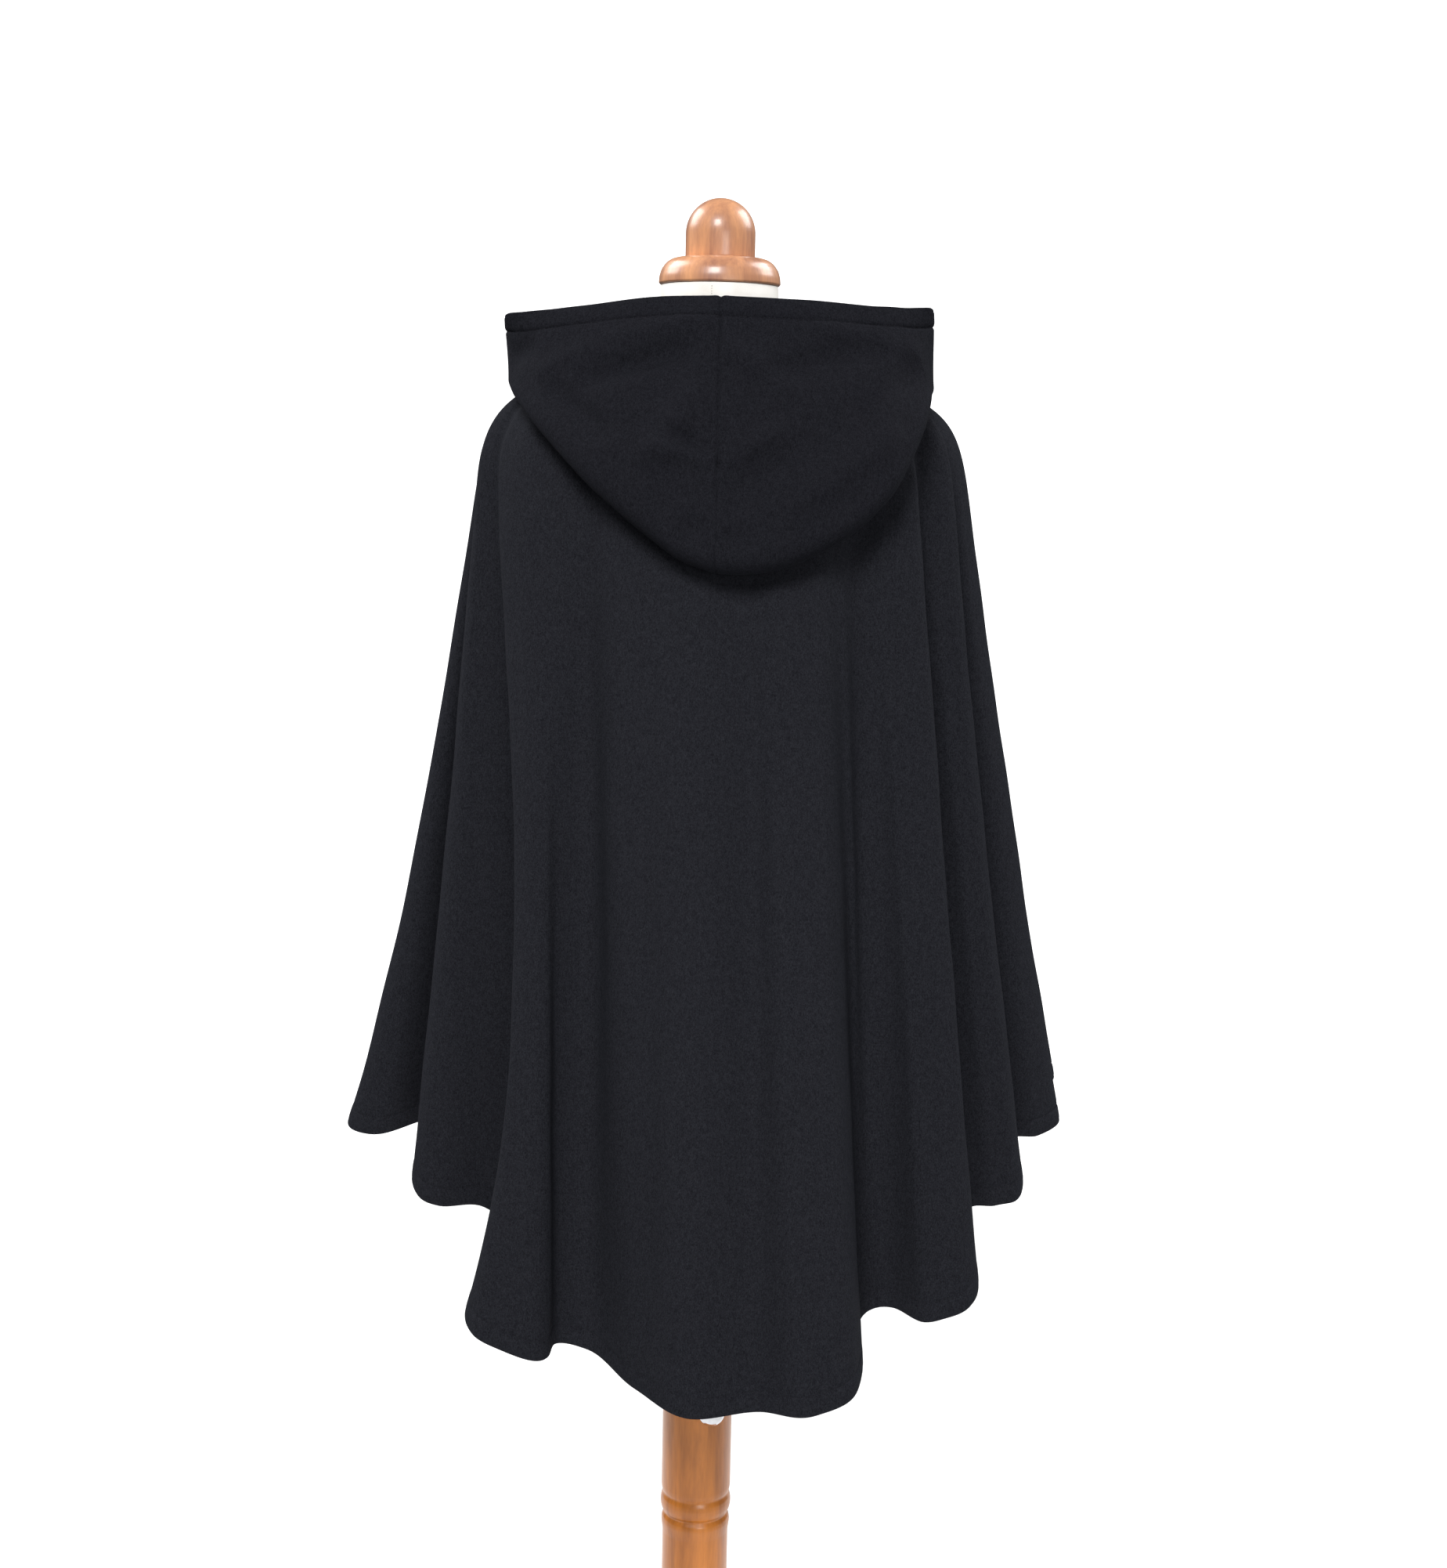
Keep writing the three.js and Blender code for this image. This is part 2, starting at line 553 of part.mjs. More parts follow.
// Dress form: flat bottom with the mast's blind hole, body, shoulders under the cloak, neck.
const formAngles = Array.from({ length: FORM_SIDES }, (_, j) => j * 360 / FORM_SIDES);
const circle = (radius, z) => formAngles.map((angle) => new THREE.Vector3(
  radius * Math.sin(angle * RAD), -radius * Math.cos(angle * RAD), z));
const formRings = [circle(BORE_RADIUS, MAST_TOP_Z + SEAM), circle(BORE_RADIUS, FORM_BOTTOM_Z)];
formRings.push(formAngles.map((angle) => {
  const c = Math.cos(angle * RAD);
  return new THREE.Vector3(166 * Math.sin(angle * RAD), -(c > 0 ? 104 : 99) * c, FORM_BOTTOM_Z);
}));
for (const { z, halfWidth, back, front } of [...FORM_LOWER].reverse()) {
  formRings.push(formAngles.map((angle) => {
    const c = Math.cos(angle * RAD);
    return new THREE.Vector3(halfWidth * Math.sin(angle * RAD), -(c > 0 ? back : front) * c, z);
  }));
}
const yokeRows = DOWN.filter((down) => down <= 1);
const formYoke = yokeRows.map((down) => formAngles.map((angle) => {
  const side = Math.sin(angle * RAD) ** 2;
  const ring = ringPoint(angle, -10 * side);
  const lean = ring.clone().setZ(0).normalize().multiplyScalar(0.16);
  return yokePoint(angle, ring, lean, down);
}));
const formCover = formYoke.map((row) => [...row, row[0]]);
const formShoulders = moved(formCover, () => -(CLOTH + 0.8)).map((row) => row.slice(0, FORM_SIDES));
formRings.push(...formShoulders.reverse());
for (const { z, radius } of FORM_NECK) {
  formRings.push(circle(radius, z));
}
add('dress_form', skinBody(new THREE.Vector3(0, 0, MAST_TOP_Z + SEAM), formRings,
  new THREE.Vector3(0, 0, FORM_NECK.at(-1).z)), JERSEY);

// Neck cap and dome.
add('neck_cap', turned(CAP_PROFILE, 36), WOOD);
const domeProfile = [[0, DOME_BOTTOM_Z], [DOME_RADIUS, DOME_BOTTOM_Z]];
for (let angle = 0; angle < 90; angle += 11.25) {
  domeProfile.push([DOME_RADIUS * Math.cos(angle * RAD),
    DOME_TOP_Z - DOME_RADIUS + DOME_RADIUS * Math.sin(angle * RAD)]);
}
domeProfile.push([0, DOME_TOP_Z]);
add('neck_dome', turned(domeProfile, 30), WOOD);

// Mast tube, open at both ends.
const mastInner = MAST_RADIUS - MAST_WALL;
add('mast_tube', turned([[mastInner, MAST_BOTTOM_Z], [MAST_RADIUS, MAST_BOTTOM_Z],
  [MAST_RADIUS, MAST_TOP_Z], [mastInner, MAST_TOP_Z], [mastInner, MAST_BOTTOM_Z]], 24), STEEL);

// Column with the screw's hole, and the clamp knob with its screw.
const knobAxis = new THREE.Vector3(Math.sin(KNOB_TURN * RAD), -Math.cos(KNOB_TURN * RAD), 0);
const toKnob = new THREE.Quaternion().setFromUnitVectors(new THREE.Vector3(0, 0, 1), knobAxis);
const screwHole = turned([[0, 6], [KNOB_SHAFT + SEAM, 6], [KNOB_SHAFT + SEAM, 40], [0, 40]], 16);
screwHole.applyQuaternion(toKnob);
screwHole.translate(0, 0, KNOB_Z);
const column = solidOf(turned(COLUMN_PROFILE, 30)).subtract(solidOf(screwHole));
add('stand_column', geometryOf(column), WOOD);
const knob = turned(KNOB_PROFILE, 20);
knob.applyQuaternion(toKnob);
knob.translate(0, 0, KNOB_Z);
add('clamp_knob', knob, CHROME);
add('stand_base', turned(BASE_PROFILE, 40), WOOD);

export default cloak;
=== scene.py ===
import bmesh
import bpy
import numpy as np
from mathutils import Matrix


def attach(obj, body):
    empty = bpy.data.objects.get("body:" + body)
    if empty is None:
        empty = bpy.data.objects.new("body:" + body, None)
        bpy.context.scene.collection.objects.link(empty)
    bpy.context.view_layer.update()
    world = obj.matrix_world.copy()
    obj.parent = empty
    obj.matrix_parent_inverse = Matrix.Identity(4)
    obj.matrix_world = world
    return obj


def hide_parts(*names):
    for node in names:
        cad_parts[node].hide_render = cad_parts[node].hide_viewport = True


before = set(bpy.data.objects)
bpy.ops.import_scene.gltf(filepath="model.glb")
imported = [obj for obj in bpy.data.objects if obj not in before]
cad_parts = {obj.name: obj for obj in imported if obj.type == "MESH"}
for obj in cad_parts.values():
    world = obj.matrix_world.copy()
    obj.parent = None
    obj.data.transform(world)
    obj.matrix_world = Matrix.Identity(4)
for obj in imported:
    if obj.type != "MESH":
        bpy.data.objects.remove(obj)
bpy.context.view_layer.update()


# The round base. A disc of beech 380 mm across and 28 mm high with a rounded upper edge, turned
# on a faceplate, stained and gloss varnished, with the column screwed on from below.
def rounded(profile, radius):
    """Profile of r, z pairs with each inner corner turned into a short curve: a quadratic arc from
    a point before the corner to one after it, each at the radius or 0.4 of the nearer side."""
    line = np.asarray(profile, float)
    side = np.diff(line, axis=0)
    length = np.hypot(*side.T)
    cut = np.minimum(radius, 0.4 * np.minimum(length[:-1], length[1:]))[:, None]
    corner = line[1:-1]
    before = corner - side[:-1] / length[:-1, None] * cut
    after = corner + side[1:] / length[1:, None] * cut
    t = np.linspace(0, 1, 5)[None, :, None]
    arcs = (1 - t) ** 2 * before[:, None] + 2 * t * (1 - t) * corner[:, None] + t**2 * after[:, None]
    return np.vstack([line[:1], arcs.reshape(-1, 2), line[-1:]])


def linked(name, data):
    """New object for a mesh, light or camera, put in the scene."""
    piece = bpy.data.objects.new(name, data)
    bpy.context.collection.objects.link(piece)
    return piece


def skin(name, grid, rows_close=False, columns_close=False, sharp=40):
    """Piece made of a grid of points in millimetres: each cell of four neighbours is a face, with
    the last row or column joined to the first where it closes. Points at one place are merged, so
    poles and seams are closed, and the faces of a closed body are turned outwards."""
    points = np.asarray(grid, float)
    m, n = points.shape[:2]
    i, j = np.meshgrid(np.arange(m if rows_close else m - 1), np.arange(n if columns_close else n - 1),
                       indexing="ij")
    down, right = (i + 1) % m, (j + 1) % n
    cells = np.stack([i * n + j, i * n + right, down * n + right, down * n + j], -1).reshape(-1, 4)
    mesh = bpy.data.meshes.new(name)
    mesh.from_pydata((points.reshape(-1, 3) / 1000).tolist(), [], cells.tolist())
    body = bmesh.new()
    body.from_mesh(mesh)
    bmesh.ops.remove_doubles(body, verts=body.verts, dist=1e-6)
    bmesh.ops.dissolve_degenerate(body, edges=body.edges, dist=1e-7)
    bmesh.ops.recalc_face_normals(body, faces=body.faces)
    body.to_mesh(mesh)
    body.free()
    mesh.shade_smooth()
    mesh.set_sharp_from_angle(angle=np.radians(sharp))
    return linked(name, mesh)


def turned(name, profile, radius=1.0, sides=96, axis=None, start=(0, 0, 0)):
    """Turned piece: the profile's r, z pairs carried round an axis, upright unless one is given."""
    line = rounded(profile, radius)
    turn = np.linspace(0, 2 * np.pi, sides, endpoint=False)
    up = np.array([0, 0, 1.0]) if axis is None else np.asarray(axis, float)
    across = np.array([1.0, 0, 0]) if axis is None else np.cross([0, 0, 1.0], up)
    third = np.cross(up, across)
    ways = np.cos(turn)[:, None] * across + np.sin(turn)[:, None] * third
    grid = line[:, None, :1] * ways[None] + line[:, None, 1:] * up + np.asarray(start, float)
    return skin(name, grid, columns_close=True)


def feed(node, inputs):
    """Sets each input of a node to a value, or links it to another node's output."""
    for socket, value in inputs.items():
        if isinstance(value, bpy.types.NodeSocket):
            node.id_data.links.new(value, node.inputs[socket])
        else:
            node.inputs[socket].default_value = value


def new_node(tree, kind, inputs):
    """Outputs of a new node in a tree, with its inputs set or linked."""
    node = tree.nodes.new(kind)
    feed(node, inputs)
    return node.outputs


def stretched(tree, scale):
    """Coordinates of the piece itself in metres, times a scale for x, y and z."""
    where = new_node(tree, "ShaderNodeTexCoord", {})["Object"]
    return new_node(tree, "ShaderNodeMapping", {"Vector": where, "Scale": scale})["Vector"]


def ramp(tree, value, dark, light, low=0.0, high=1.0):
    """Colour that runs from dark to light while the value runs from low to high."""
    node = tree.nodes.new("ShaderNodeValToRGB")
    for k, place, colour in ((0, low, dark), (1, high, light)):
        node.color_ramp.elements[k].position = place
        node.color_ramp.elements[k].color = (*colour, 1)
    feed(node, {"Fac": value})
    return node.outputs["Color"]


def new_material(name, roughness=0.5, metallic=0.0):
    """Material with one surface shader, its node tree and that shader."""
    material = bpy.data.materials.new(name)
    material.use_nodes = True
    surface = material.node_tree.nodes["Principled BSDF"]
    feed(surface, {"Roughness": roughness, "Metallic": metallic})
    return material, material.node_tree, surface


def varnished_wood(name, light, dark, grain_scale, coat):
    """Beech stained red-brown under gloss varnish: long dark streaks from a noise stretched along
    the grain, finer pores in tone and relief, and a clear coat that keeps soft highlights."""
    wood, tree, surface = new_material(name, 0.38)
    grain = stretched(tree, grain_scale)
    streaks = new_node(tree, "ShaderNodeTexNoise", {
        "Vector": grain, "Scale": 1.0, "Detail": 6, "Roughness": 0.62, "Distortion": 0.4})["Fac"]
    pores = new_node(tree, "ShaderNodeTexNoise", {"Vector": grain, "Scale": 9.0, "Detail": 3})["Fac"]
    both = new_node(tree, "ShaderNodeMix", {"Factor": 0.16, "A": streaks, "B": pores})["Result"]
    relief = new_node(tree, "ShaderNodeBump", {
        "Height": pores, "Strength": 0.12, "Distance": 0.0004})["Normal"]
    feed(surface, {"Base Color": ramp(tree, both, dark, light, 0.3, 0.72), "Normal": relief,
                   "Coat Weight": coat, "Coat Roughness": 0.17})
    return wood


beech_board = varnished_wood("beech_board", (0.58, 0.195, 0.03), (0.20, 0.06, 0.009), (3, 36, 36), 0.2)
base = turned("base_disc", [[0, 0], [186, 0], [189, 2.5], [190, 8], [188, 15], [181, 21], [168, 25.5],
                            [150, 28], [0, 28]], 3, 144)
base.data.materials.append(beech_board)
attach(base, "stand")
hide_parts("stand_base")


# The column. One beech turning with a flared foot, a round bead between two grooves where the
# upper part is glued on, and a bore for the mast; varnished like the base, its grain upright.
beech = varnished_wood("beech_varnish", (0.66, 0.225, 0.03), (0.20, 0.058, 0.007), (36, 36, 4), 0.2)
column = turned("column_turning", [
    [0, 28.3], [45, 28.3], [45.6, 32], [43, 38], [37.5, 44], [34, 52], [32.4, 62], [32.4, 279],
    [33.2, 285], [33.8, 290], [33.1, 294.5], [31.2, 298], [31.3, 299.4], [33.2, 302], [34.4, 306.5],
    [34.7, 311], [34.1, 315.5], [32.7, 319.2], [32.6, 320.6], [33.5, 323], [34, 327], [34, 473],
    [33, 476.6], [30, 478], [12.8, 478], [12.8, 200], [0, 200]], 1.2, 96)
column.data.materials.append(beech)
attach(column, "stand")
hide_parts("stand_column")


# The mast. Drawn steel tube 25 mm across with a 1.6 mm wall, sliding in the column's bore.
steel, steel_tree, steel_surface = new_material("drawn_steel", metallic=1.0)
steel_lines = new_node(steel_tree, "ShaderNodeTexNoise", {
    "Vector": stretched(steel_tree, (2200, 2200, 14)), "Scale": 1.0})["Fac"]
steel_gloss = new_node(steel_tree, "ShaderNodeMapRange", {
    "Value": steel_lines, "To Min": 0.22, "To Max": 0.42})["Result"]
feed(steel_surface, {"Base Color": (0.55, 0.56, 0.58, 1), "Roughness": steel_gloss})
mast = turned("mast_drawn_tube", [[10.9, 300], [12.5, 300], [12.5, 800], [10.9, 800], [10.9, 300]], 0.4, 64)
mast.data.materials.append(steel)
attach(mast, "mast")
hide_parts("mast_tube")


# The clamp knob. Turned brass, chromed and polished, with a rounded rim and an 8 mm screw that
# runs through the column's wall to the mast, 15 degrees round from straight behind.
def clouded(name, roughness, metallic, noise, tone):
    """Material whose colour drifts in clouds: a noise with the given inputs runs over the tone,
    which is dark, light and, where they aren't 0 and 1, the noise's values for them."""
    material, tree, surface = new_material(name, roughness, metallic)
    cloud = new_node(tree, "ShaderNodeTexNoise", {"Vector": stretched(tree, (1, 1, 1)), **noise})
    feed(surface, {"Base Color": ramp(tree, cloud["Fac"], *tone)})
    return material, tree, surface


knob_axis = np.array([np.sin(np.radians(15)), -np.cos(np.radians(15)), 0])
chrome, _, _ = clouded("polished_chrome", 0.13, 1.0, {"Scale": 260},
                       ((0.5, 0.51, 0.53), (0.7, 0.71, 0.73)))
knob = turned("clamp_knob_chrome", [
    [0, 12.8], [4, 12.8], [4, 34.5], [8, 34.5], [8, 37.5], [5.5, 39], [5.5, 45], [10.5, 46],
    [12.6, 48], [13, 51], [13, 55.5], [12.2, 58.2], [9.5, 60], [4, 60.8], [0, 61]], 0.8, 72,
    knob_axis, (0, 0, 425))
knob.data.materials.append(chrome)
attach(knob, "knob")
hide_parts("clamp_knob")


# The dress form. A padded body without arms, legs or head, covered in one cream cotton jersey
# cut close, with a machined seam up the back of the neck; its flat bottom takes the mast.
def neckline(angle):
    """Points of the neckline at angles in degrees from centre back: an ellipse that sinks from
    1431 mm behind to 1397 mm in front and stands 6 mm higher at the sides."""
    s, c = np.sin(np.radians(angle)), np.cos(np.radians(angle))
    z = 1397 + 34 * (1 + c) / 2 + 6 * (1 - c * c)
    return np.stack([62 * s, -60 * c, z], -1)


# Height of the ring that runs round below the shoulders.
RING_Z = 1306.0


def shoulder_ring(angle, lift):
    """Points of the ring below the shoulders, two half ellipses 206 mm wide to each side, 118 mm
    deep behind and 130 mm in front, pushed square outwards by the lift."""
    s, c = np.sin(np.radians(angle)), np.cos(np.radians(angle))
    deep = np.where(c > 0, 118.0, 130.0)
    out = np.stack([s / 206, -c / deep, np.zeros_like(s)], -1)
    out /= np.linalg.norm(out, axis=-1, keepdims=True)
    return np.stack([206 * s, -deep * c, np.full_like(s, RING_Z)], -1) + out * np.asarray(lift)[..., None]


def over_shoulder(angle, ring, lean, t):
    """Points from the neckline to the ring: a cubic curve that leaves the neck almost level at
    the sides and steeper behind, and reaches the ring in the direction of the lean."""
    side = np.sin(np.radians(angle))[..., None] ** 2
    neck = neckline(angle)
    first = neck + (ring - neck) * (0.5 + 0.38 * side)
    first[..., 2] = neck[..., 2] - (38 - 18 * side[..., 0])
    rise = 52 + 12 * side
    second = ring - lean * rise
    second[..., 2] = ring[..., 2] + rise[..., 0]
    t = np.asarray(t, float)[..., None]
    return ((1 - t) ** 3 * neck + 3 * t * (1 - t) ** 2 * first + 3 * t * t * (1 - t) * second + t**3 * ring)


def square_out(grid):
    """Unit directions square to a grid whose rows run down and whose columns run round from left
    to right seen from behind: the steps along the rows crossed with the steps down."""
    step = np.cross(np.gradient(grid, axis=1), np.gradient(grid, axis=0))
    return -step / np.maximum(np.linalg.norm(step, axis=-1, keepdims=True), 1e-9)


def through(places, rows, u):
    """Smooth curve through a table's rows at their places: cubic pieces, with the slope at a row
    the mean of the slopes on its two sides, weighted towards the shorter side."""
    gap = np.diff(places)
    rise = np.diff(rows, axis=0) / gap[:, None]
    slope = np.vstack([rise[:1], (rise[:-1] * gap[1:, None] + rise[1:] * gap[:-1, None])
                       / (gap[1:] + gap[:-1])[:, None], rise[-1:]])
    i = np.clip(np.searchsorted(places, u, side="right") - 1, 0, len(places) - 2)
    g = gap[i][..., None]
    t = ((u - places[i])[..., None]) / g
    return ((2 * t**3 - 3 * t**2 + 1) * rows[i] + (t**3 - 2 * t**2 + t) * g * slope[i]
            + (3 * t**2 - 2 * t**3) * rows[i + 1] + (t**3 - t**2) * g * slope[i + 1])


form_turn = np.linspace(-180, 180, 120, endpoint=False)
form_side = np.sin(np.radians(form_turn)) ** 2
form_ring = shoulder_ring(form_turn, -10 * form_side)
form_lean = form_ring * [1, 1, 0]
form_lean = form_lean / np.linalg.norm(form_lean, axis=-1, keepdims=True) * 0.16
form_down = np.linspace(0, 1, 26)
form_yoke = np.stack([over_shoulder(form_turn, form_ring, form_lean, np.full_like(form_turn, t))
                      for t in form_down])
form_closed = np.concatenate([form_yoke[:, -1:], form_yoke, form_yoke[:, :1]], axis=1)
form_yoke = form_yoke - 3.3 * square_out(form_closed)[:, 1:-1]
form_table = np.array([
    [752, 172, 109, 104], [770, 178, 115, 110], [820, 179, 118, 111], [890, 168, 113, 107],
    [960, 143, 100, 98], [1030, 126, 90, 92], [1100, 140, 93, 100], [1170, 157, 101, 116],
    [1225, 167, 108, 126], [1270, 178, 113, 127]], float)
form_height = np.concatenate([[750.0, 750.4, 751.2], np.linspace(752, 1270, 60)])
form_girth = through(form_table[:, 0], form_table[:, 1:], np.maximum(form_height, 752))
form_girth[:3] -= np.array([[6, 5, 5], [2.4, 2, 2], [0.8, 0.7, 0.7]])
form_c = np.cos(np.radians(form_turn))
form_body = np.stack([
    form_girth[:, :1] * np.sin(np.radians(form_turn)),
    -np.where(form_c > 0, form_girth[:, 1:2], form_girth[:, 2:3]) * form_c,
    np.broadcast_to(form_height[:, None], (len(form_height), len(form_turn)))], -1)
form_neck = np.array([[57.5, 1441], [55.6, 1452], [54.6, 1462], [53.9, 1475], [53.6, 1485],
                      [53.2, 1487.1], [52, 1487.5], [0, 1487.5]])
form_bore = np.array([[0, 800.3], [12.8, 800.3], [12.8, 750.8], [13.6, 750]])


def round_rows(pairs, turn):
    """Rows of points round the mast's axis, one for each pair of radius and height."""
    s, c = np.sin(np.radians(turn)), np.cos(np.radians(turn))
    return np.stack([pairs[:, :1] * s, -pairs[:, :1] * c, np.repeat(pairs[:, 1:], len(turn), 1)], -1)


jersey, jersey_tree, jersey_surface = clouded(
    "cream_jersey", 0.85, 0.0, {"Scale": 38, "Detail": 5}, ((0.84, 0.81, 0.75), (0.94, 0.92, 0.88), 0.3, 0.7))
jersey_knit = new_node(jersey_tree, "ShaderNodeTexVoronoi", {
    "Vector": stretched(jersey_tree, (1300, 1300, 900)), "Scale": 1.0})["Distance"]
jersey_relief = new_node(jersey_tree, "ShaderNodeBump", {
    "Height": jersey_knit, "Strength": 0.35, "Distance": 0.0003})["Normal"]
feed(jersey_surface, {"Sheen Weight": 0.25, "Normal": jersey_relief})
form = skin("form_jersey_body", np.concatenate([
    round_rows(form_bore, form_turn), form_body, form_yoke[::-1], round_rows(form_neck, form_turn)]),
    columns_close=True)
form.data.materials.append(jersey)
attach(form, "form")
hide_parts("dress_form")


def stitches(name, path, out, pitch, length, radius, sink=0.25):
    """A row of sewn stitches along a path of points in millimetres: at each pitch one short bar
    with five sides, thin at both ends, bowed outwards and sunk a little into the cloth."""
    steps = np.linalg.norm(np.diff(path, axis=0), axis=1)
    run = np.concatenate([[0], np.cumsum(steps)])
    middles = np.arange(pitch * 0.5, run[-1] - pitch * 0.5, pitch)
    along = np.array([-0.5, -0.36, 0.0, 0.36, 0.5]) * length
    thick = np.array([0.25, 0.8, 1.0, 0.8, 0.25]) * radius
    bow = np.array([-1.0, -0.2, 0.35, -0.2, -1.0]) * radius
    at = (middles[:, None] + along).ravel()
    spot = np.stack([np.interp(at, run, path[:, k]) for k in range(3)], -1)
    face = np.stack([np.interp(at, run, out[:, k]) for k in range(3)], -1)
    face /= np.linalg.norm(face, axis=1, keepdims=True)
    ahead = np.stack([np.interp(at + 0.5, run, path[:, k]) - np.interp(at - 0.5, run, path[:, k])
                      for k in range(3)], -1)
    ahead /= np.maximum(np.linalg.norm(ahead, axis=1, keepdims=True), 1e-9)
    side = np.cross(face, ahead)
    turn = np.linspace(0, 2 * np.pi, 5, endpoint=False)
    spot = spot + face * (np.tile(bow, len(middles)) - sink * radius)[:, None]
    ring = (spot[:, None] + np.tile(thick, len(middles))[:, None, None]
            * (np.cos(turn)[None, :, None] * face[:, None] + np.sin(turn)[None, :, None] * side[:, None]))
    first = np.arange(len(middles))[:, None, None] * 25
    i, j = np.meshgrid(np.arange(4), np.arange(5), indexing="ij")
    cells = np.stack([i * 5 + j, i * 5 + (j + 1) % 5, (i + 1) * 5 + (j + 1) % 5, (i + 1) * 5 + j], -1)
    ends = first[..., 0] + np.array([4, 3, 2, 1, 0])
    tips = first[..., 0] + np.array([20, 21, 22, 23, 24])
    mesh = bpy.data.meshes.new(name)
    mesh.from_pydata((ring.reshape(-1, 3) / 1000).tolist(), [],
                     (first[..., None] + cells).reshape(-1, 4).tolist() + ends.tolist() + tips.tolist())
    body = bmesh.new()
    body.from_mesh(mesh)
    bmesh.ops.recalc_face_normals(body, faces=body.faces)
    body.to_mesh(mesh)
    body.free()
    mesh.shade_smooth()
    return linked(name, mesh)


thread, _, _ = clouded("cream_thread", 0.7, 0.0, {"Scale": 1500}, ((0.33, 0.29, 0.23), (0.5, 0.45, 0.37)))
neck_line = round_rows(form_neck[:5], np.array([-7.0]))[:, 0]
neck_seam = stitches("form_neck_seam", neck_line, neck_line * [1, 1, 0], 2.2, 1.5, 0.35)
neck_seam.data.materials.append(thread)
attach(neck_seam, "form")


# The neck cap and dome. Two beech turnings glued one on the other and pinned into the form's neck.
# Their wood is coloured lighter and pinker than the stand's: painted highlight and painted reflection.
cap_wood_painted_highlight = varnished_wood("cap_varnish_painted_highlight", (0.78, 0.38, 0.18), (0.30, 0.13, 0.085), (48, 48, 9), 0.35)
cap = turned("cap_turning", [[0, 1487.8], [54, 1487.8], [55.4, 1489.2], [55, 1495], [53, 1501.5],
                             [49, 1507], [44, 1510.4], [38, 1511.9], [0, 1511.9]], 2.2, 120)
dome_arc = np.radians(np.linspace(0, 90, 25))
dome = turned("dome_turning", np.vstack([[[0, 1512.2], [31.6, 1512.2]], np.stack(
    [31.6 * np.cos(dome_arc), 1533.4 + 31.6 * np.sin(dome_arc)], -1)]), 0.6, 96)
for piece, node in ((cap, "neck_cap"), (dome, "neck_dome")):
    piece.data.materials.append(cap_wood_painted_highlight)
    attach(piece, "form")
    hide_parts(node)


# The cape. Three panels of felted wool 2.5 mm thick, joined at side seams that hide in folds.
# It lies on the shoulders and falls in deep uneven folds to a turned and stitched hem.
FOLDS = np.array([
    # ring, hemX, hemY, lift, bowX, bowY, over
    [-193, 30, 230, 0, 0, 0, 0], [-182, 0, 233, 0, 0, 0, 0], [-172, -30, 238, 0, 0, 0, 0],
    [-165, -58, 252, 4, 0, 0, 0], [-158, -84, 228, 1, 0, 0, 0], [-148, -132, 226, 3, 0, 0, 0],
    [-139, -176, 242, 8, 0, 0, 0], [-131, -190, 194, 2, 0, 0, 0], [-124, -226, 174, 4, 0, 0, 0],
    [-116, -268, 180, 9, 0, 0, 0], [-109, -268, 120, 3, 0, 0, 0], [-104, -318, 98, 9, 0, 0, 0],
    [-100, -346, 42, 18, 7, 0, 0], [-97, -343, 10, 18, 7, 0, 0], [-94, -312, 0, 11, 0, 0, 0],
    [-91, -266, 26, 2, 0, 0, 0], [-87, -275, -48, 13, 0, 0, 0], [-85, -267, -65, 13, 0, 0, 0],
    [-82, -246, -72, 12, 0, 0, 0], [-78, -206, -64, 6, 4, 0, 0], [-74, -172, -84, 0, 12, 0, 0],
    [-67, -208, -172, 6, 33, 0, 0], [-62, -199, -203, 7, 22, 0, 0], [-57, -172, -213, 8, 12, 0, 0],
    [-46, -131, -203, 4, 0, 0, 0], [-42, -126, -181, 2, 0, 0, 0], [-37, -100, -174, 2, 0, 0, 0],
    [-25, -56, -217, 3, 0, 0, 0], [-9, -8, -264, 4, 0, 0, 0], [7, 54, -256, 3, 0, 0, 0],
    [18, 104, -275, 4, 0, 0, 0], [23, 135, -258, 4, 0, 0, 0], [27, 145, -222, 4, 0, 0, 0],
    [33, 145, -156, 1, 0, 0, 0], [40, 176, -150, 2, 0, 0, 0], [44, 200, -176, 5, 0, 0, 0],
    [48, 222, -179, 7, 0, 0, 0], [53, 244, -171, 9, 0, 0, 0], [57, 253, -148, 10, 0, 0, 0],
    [62, 248, -72, 1, 0, 0, 0], [68, 278, -64, 6, 0, 0, 0], [72, 298, -60, 13, 0, 0, 0],
    [76, 306, -40, 17, 0, 0, 0], [82, 300, 14, 11, 0, 0, 0], [88, 328, 22, 20, 3, 0, 0],
    [94, 353, 54, 29, 1, 0, 0], [100, 338, 100, 20, 4, 0, 0], [106, 360, 150, 22, 6, 0, 0],
    [113, 298, 166, 8, 4, 0, 0], [121, 262, 224, 9, 0, 0, 0], [130, 210, 198, 2, 0, 0, 0],
    [140, 164, 246, 7, 0, 0, 0], [150, 116, 228, 1, 0, 0, 0], [160, 62, 252, 1, 0, 0, 2.8],
    [170, 20, 254, 0, 0, 0, 5], [192, -26, 252, 0, 0, 0, 5.4]])
CLOTH = 2.5
HEM_TURN = 16.0
SEAM_LOW = 0.5
STITCH = {"pitch": 4.2, "length": 3.0, "radius": 0.34}


